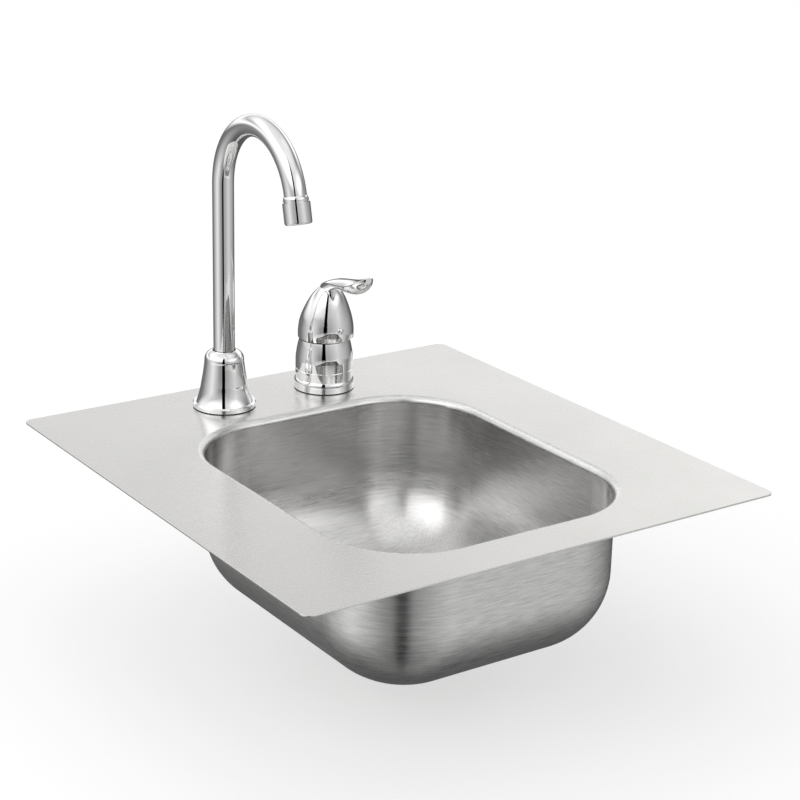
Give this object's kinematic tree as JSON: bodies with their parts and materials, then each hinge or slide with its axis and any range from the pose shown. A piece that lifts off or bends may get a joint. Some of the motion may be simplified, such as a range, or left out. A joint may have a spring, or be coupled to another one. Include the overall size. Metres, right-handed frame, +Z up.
{
  "type": "drop-in sink",
  "caption": "Drop-in steel bar sink: flat deck, deep round-cornered bowl, swivelling gooseneck spout, single-lever mixing valve and drain strainer with a lift-out basket.",
  "frame": {"origin": "centre of the deck's outline on the counter's top, which is the plane of the deck's underside", "axes": "+Z up, +X to the user's right, the user stands on the -Y side and the taps on the +Y side"},
  "size_m": [0.4318, 0.452, 0.4416],
  "materials": {
    "stainless": "satin brushed",
    "polished_steel": "polished",
    "rail_steel": "galvanised",
    "chrome": "mirror chrome plate",
    "brass": "machined",
    "copper": "drawn copper",
    "tool_steel": "ground",
    "zinc": "die cast",
    "rubber": "matte black",
    "white_plastic": "moulded",
    "grey_plastic": "moulded",
    "ceramic": "lapped ceramic",
    "fibre": "pressed fibre"
  },
  "bodies": {
    "sink": {"sink_deck": "stainless", "sink_bowl": "stainless", "front_clip_rail": "rail_steel", "back_clip_rail": "rail_steel", "left_clip_rail": "rail_steel", "right_clip_rail": "rail_steel", "spout_bell": "chrome", "bell_gasket": "rubber", "spout_shank": "brass", "spout_thrust_washer": "white_plastic", "spout_bushings": "white_plastic", "spout_o_rings": "rubber", "spout_gland_nut": "brass", "spout_shank_washer": "rubber", "spout_shank_nut": "brass", "valve_gasket": "rubber", "valve_base_ring": "chrome", "valve_sleeve": "chrome", "valve_body": "brass", "cartridge_base": "grey_plastic", "port_seals": "rubber", "fixed_disc": "ceramic", "cartridge_housing": "grey_plastic", "cartridge_nut": "brass", "crossover_tube": "copper", "crossover_nuts": "brass", "valve_shank_washer": "rubber", "valve_shank_nut": "brass", "strainer_body": "polished_steel", "strainer_gasket": "rubber", "friction_washer": "fibre", "strainer_locknut": "zinc"},
    "spout": {"spout_tube": "chrome", "aerator_housing": "chrome", "aerator_insert": "white_plastic", "aerator_washer": "rubber", "spout_circlip": "tool_steel"},
    "swivel": {"cartridge_carrier": "white_plastic", "pivot_pin": "tool_steel"},
    "lever": {"cartridge_spindle": "tool_steel", "lever_handle": "chrome", "set_screw": "tool_steel", "screw_plug": "chrome"},
    "disc": {"moving_disc": "ceramic", "disc_driver": "grey_plastic"},
    "basket": {"strainer_basket": "polished_steel", "basket_post": "polished_steel", "basket_stopper": "rubber"}
  },
  "joints": [
    {"name": "spout_swivel", "type": "hinge", "parent": "sink", "child": "spout", "pos_m": [-0.0508, 0.1745, 0], "axis": [0, 0, 1], "continuous": true},
    {"name": "handle_swivel", "type": "hinge", "parent": "sink", "child": "swivel", "pos_m": [0.0508, 0.1745, 0], "axis": [0, 0, 1], "range_deg": [-50, 50]},
    {"name": "lever_tilt", "type": "hinge", "parent": "swivel", "child": "lever", "pos_m": [0.0508, 0.1745, 0.0312], "axis": [-1, 0, 0], "range_deg": [0, 25]},
    {"name": "disc_slide", "type": "slide", "parent": "swivel", "child": "disc", "axis": [0, -1, 0], "range_m": [0, 0.003]},
    {"name": "basket_lift", "type": "slide", "parent": "sink", "child": "basket", "axis": [0, 0, 1], "range_m": [0, 0.18]}
  ],
  "couplings": [
    {"joint": "disc_slide", "follows": "lever_tilt", "m_per_rad": 0.0068}
  ]
}
